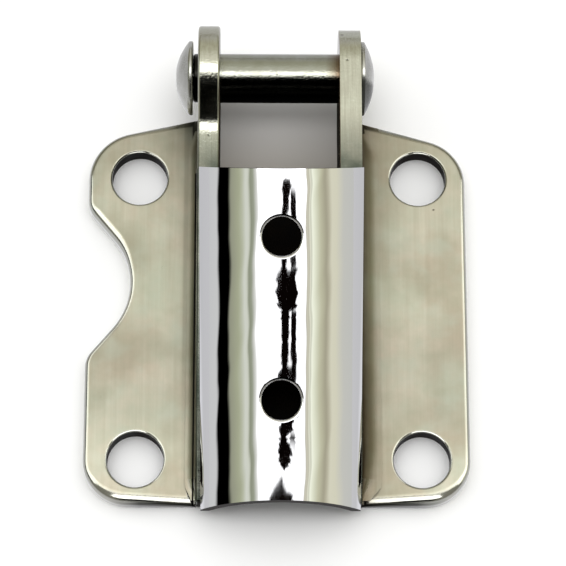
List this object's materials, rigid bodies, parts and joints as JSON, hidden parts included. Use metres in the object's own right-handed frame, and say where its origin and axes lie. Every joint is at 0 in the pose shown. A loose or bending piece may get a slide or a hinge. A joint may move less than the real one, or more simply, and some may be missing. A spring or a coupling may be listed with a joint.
{
  "type": "door hinge bracket",
  "caption": "Bolt-down clevis half of a door hinge: two plates, two cheeks with ears, a sloping chromed barrel cover and a barrel-and-screw pivot pin.",
  "frame": {"origin": "centre of the four bolt holes, on the flat mounting face", "axes": "+X along the pivot pin, +Y up the plates towards the pin, +Z out of the mounting face"},
  "size_m": [0.0615, 0.0796, 0.0233],
  "materials": {
    "plated_steel": "satin nickel plate over brushed steel",
    "bright_chrome": "mirror-polished chrome plate",
    "pin_steel": "turned and bright plated"
  },
  "bodies": {
    "bracket": {"left_base_plate": "plated_steel", "right_base_plate": "plated_steel", "left_cheek": "plated_steel", "right_cheek": "plated_steel", "back_web": "plated_steel", "barrel_cover": "bright_chrome"},
    "screw": {"pin_screw": "pin_steel"},
    "barrel": {"pin_barrel": "pin_steel"}
  },
  "joints": [
    {"name": "pin_float", "type": "slide", "parent": "bracket", "child": "screw", "axis": [1, 0, 0], "range_m": [0, 0.0008]},
    {"name": "pin_turn", "type": "hinge", "parent": "screw", "child": "barrel", "pos_m": [0, 0.03895, 0.009], "axis": [1, 0, 0], "continuous": true}
  ]
}
